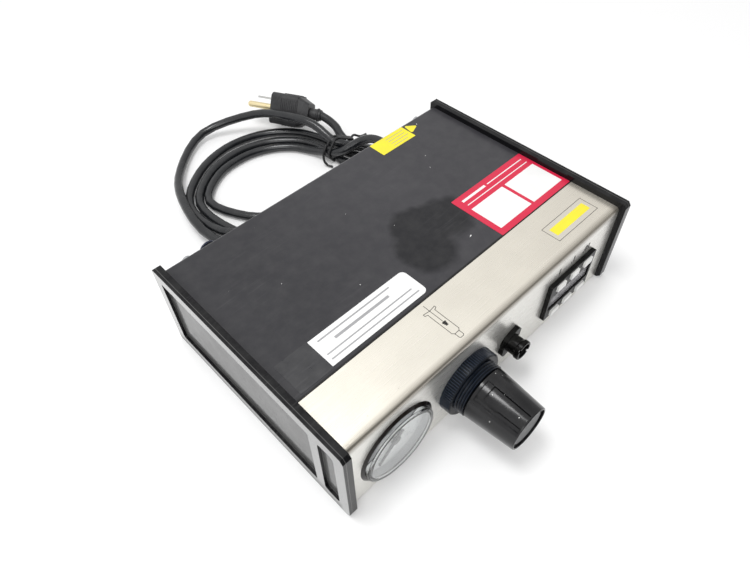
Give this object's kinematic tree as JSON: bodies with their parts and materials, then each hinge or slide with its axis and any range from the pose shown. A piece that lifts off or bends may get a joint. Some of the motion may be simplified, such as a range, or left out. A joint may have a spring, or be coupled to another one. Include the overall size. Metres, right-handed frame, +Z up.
{
  "type": "glue dispenser",
  "caption": "Benchtop air-pulse glue dispenser with steel fascia, pressure gauge, pull-to-turn regulator, quick air outlet, push-wheel timer and coiled mains lead.",
  "frame": {"origin": "centre of the footprint of the enclosure with its knob and rear fittings, on the table", "axes": "+X to the user's right across the fascia, +Y from the fascia to the rear, +Z up"},
  "size_m": [0.219, 0.3418, 0.0606],
  "materials": {
    "cap_black": "gloss",
    "cover_black": "satin",
    "steel": "brushed",
    "zinc": "satin",
    "bezel_brown": "satin",
    "dial_white": "matte",
    "clear": "gloss",
    "brass": "satin",
    "die_cast": "satin",
    "nut_black": "matte",
    "knob_black": "gloss",
    "disc_grey": "matte",
    "plastic_black": "satin",
    "plastic_white": "gloss",
    "collar_blue": "matte",
    "tube_blue": "satin",
    "board_green": "satin",
    "cord_black": "satin",
    "plug_grey": "matte",
    "core": "matte"
  },
  "bodies": {
    "enclosure": {"end_cap_left": "cap_black", "end_cap_right": "cap_black", "chassis": "zinc", "front_fascia": "steel", "top_cover": "cover_black", "rear_panel": "cover_black", "rear_screws": "zinc", "cap_screws": "zinc", "gauge_case": "plastic_black", "gauge_bezel": "bezel_brown", "gauge_dial": "dial_white", "gauge_lens": "clear", "gauge_movement": "brass", "bourdon_tube": "brass", "gauge_stem": "brass", "gauge_clamp": "zinc", "regulator_body": "die_cast", "regulator_bonnet": "plastic_black", "panel_nut": "nut_black", "outlet_flange": "plastic_black", "outlet_body": "plastic_black", "outlet_nut": "brass", "switch_housing": "plastic_black", "switch_window": "clear", "switch_spindle": "zinc", "power_switch_frame": "plastic_black", "fuse_holder": "plastic_black", "foot_socket": "plastic_black", "exhaust_muffler": "brass", "air_inlet": "brass", "strain_relief": "plastic_black", "cord_feed": "cord_black", "cord_coil": "cord_black", "cord_loop": "cord_black", "cord_end": "cord_black", "cord_tie": "plastic_black", "plug_body": "plug_grey", "plug_prongs": "brass", "solenoid_valve": "die_cast", "circuit_board": "board_green", "transformer": "core", "board_pillars": "brass", "air_tubing": "tube_blue"},
    "needle": {"gauge_needle": "plastic_black"},
    "stem": {"adjusting_stem": "zinc"},
    "knob": {"regulator_knob": "knob_black", "knob_disc": "disc_grey"},
    "rocker": {"power_rocker": "plastic_black"},
    "fuse_cap": {"fuse_cap": "plastic_black"},
    "inlet_collar": {"inlet_collar": "collar_blue"},
    "wheel_1": {"digit_wheel_1": "plastic_white"},
    "plus_1": {"plus_button_1": "plastic_white"},
    "minus_1": {"minus_button_1": "plastic_white"},
    "wheel_2": {"digit_wheel_2": "plastic_white"},
    "plus_2": {"plus_button_2": "plastic_white"},
    "minus_2": {"minus_button_2": "plastic_white"},
    "wheel_3": {"digit_wheel_3": "plastic_white"},
    "plus_3": {"plus_button_3": "plastic_white"},
    "minus_3": {"minus_button_3": "plastic_white"}
  },
  "joints": [
    {"name": "regulator_turn", "type": "hinge", "parent": "enclosure", "child": "stem", "pos_m": [-0.0252, -0.0606, 0.0255], "axis": [0, 1, 0], "range_deg": [0, 1710]},
    {"name": "knob_pull", "type": "slide", "parent": "stem", "child": "knob", "axis": [0, -1, 0], "range_m": [0, 0.003]},
    {"name": "gauge_turn", "type": "hinge", "parent": "enclosure", "child": "needle", "pos_m": [-0.074, -0.0606, 0.0244], "axis": [0, 1, 0], "range_deg": [0, 270]},
    {"name": "power_tilt", "type": "hinge", "parent": "enclosure", "child": "rocker", "pos_m": [0.03, 0.0802, 0.034], "axis": [1, 0, 0], "range_deg": [0, 20]},
    {"name": "fuse_cap_turn", "type": "hinge", "parent": "enclosure", "child": "fuse_cap", "pos_m": [0.058, 0.0817, 0.034], "axis": [0, -1, 0], "range_deg": [0, 90]},
    {"name": "collar_push", "type": "slide", "parent": "enclosure", "child": "inlet_collar", "axis": [0, -1, 0], "range_m": [0, 0.001], "stiffness_N_per_m": 300, "springref_m": -0.0005},
    {"name": "wheel_1_turn", "type": "hinge", "parent": "enclosure", "child": "wheel_1", "pos_m": [0.0506, -0.049, 0.0254], "axis": [1, 0, 0], "continuous": true},
    {"name": "wheel_2_turn", "type": "hinge", "parent": "enclosure", "child": "wheel_2", "pos_m": [0.0633, -0.049, 0.0254], "axis": [1, 0, 0], "continuous": true},
    {"name": "wheel_3_turn", "type": "hinge", "parent": "enclosure", "child": "wheel_3", "pos_m": [0.076, -0.049, 0.0254], "axis": [1, 0, 0], "continuous": true},
    {"name": "plus_1_push", "type": "slide", "parent": "enclosure", "child": "plus_1", "axis": [0, 1, 0], "range_m": [0, 0.0012], "stiffness_N_per_m": 250, "springref_m": -0.0004},
    {"name": "minus_1_push", "type": "slide", "parent": "enclosure", "child": "minus_1", "axis": [0, 1, 0], "range_m": [0, 0.0012], "stiffness_N_per_m": 250, "springref_m": -0.0004},
    {"name": "plus_2_push", "type": "slide", "parent": "enclosure", "child": "plus_2", "axis": [0, 1, 0], "range_m": [0, 0.0012], "stiffness_N_per_m": 250, "springref_m": -0.0004},
    {"name": "minus_2_push", "type": "slide", "parent": "enclosure", "child": "minus_2", "axis": [0, 1, 0], "range_m": [0, 0.0012], "stiffness_N_per_m": 250, "springref_m": -0.0004},
    {"name": "plus_3_push", "type": "slide", "parent": "enclosure", "child": "plus_3", "axis": [0, 1, 0], "range_m": [0, 0.0012], "stiffness_N_per_m": 250, "springref_m": -0.0004},
    {"name": "minus_3_push", "type": "slide", "parent": "enclosure", "child": "minus_3", "axis": [0, 1, 0], "range_m": [0, 0.0012], "stiffness_N_per_m": 250, "springref_m": -0.0004}
  ],
  "couplings": [
    {"joint": "gauge_turn", "follows": "regulator_turn", "ratio": 0.15789}
  ]
}
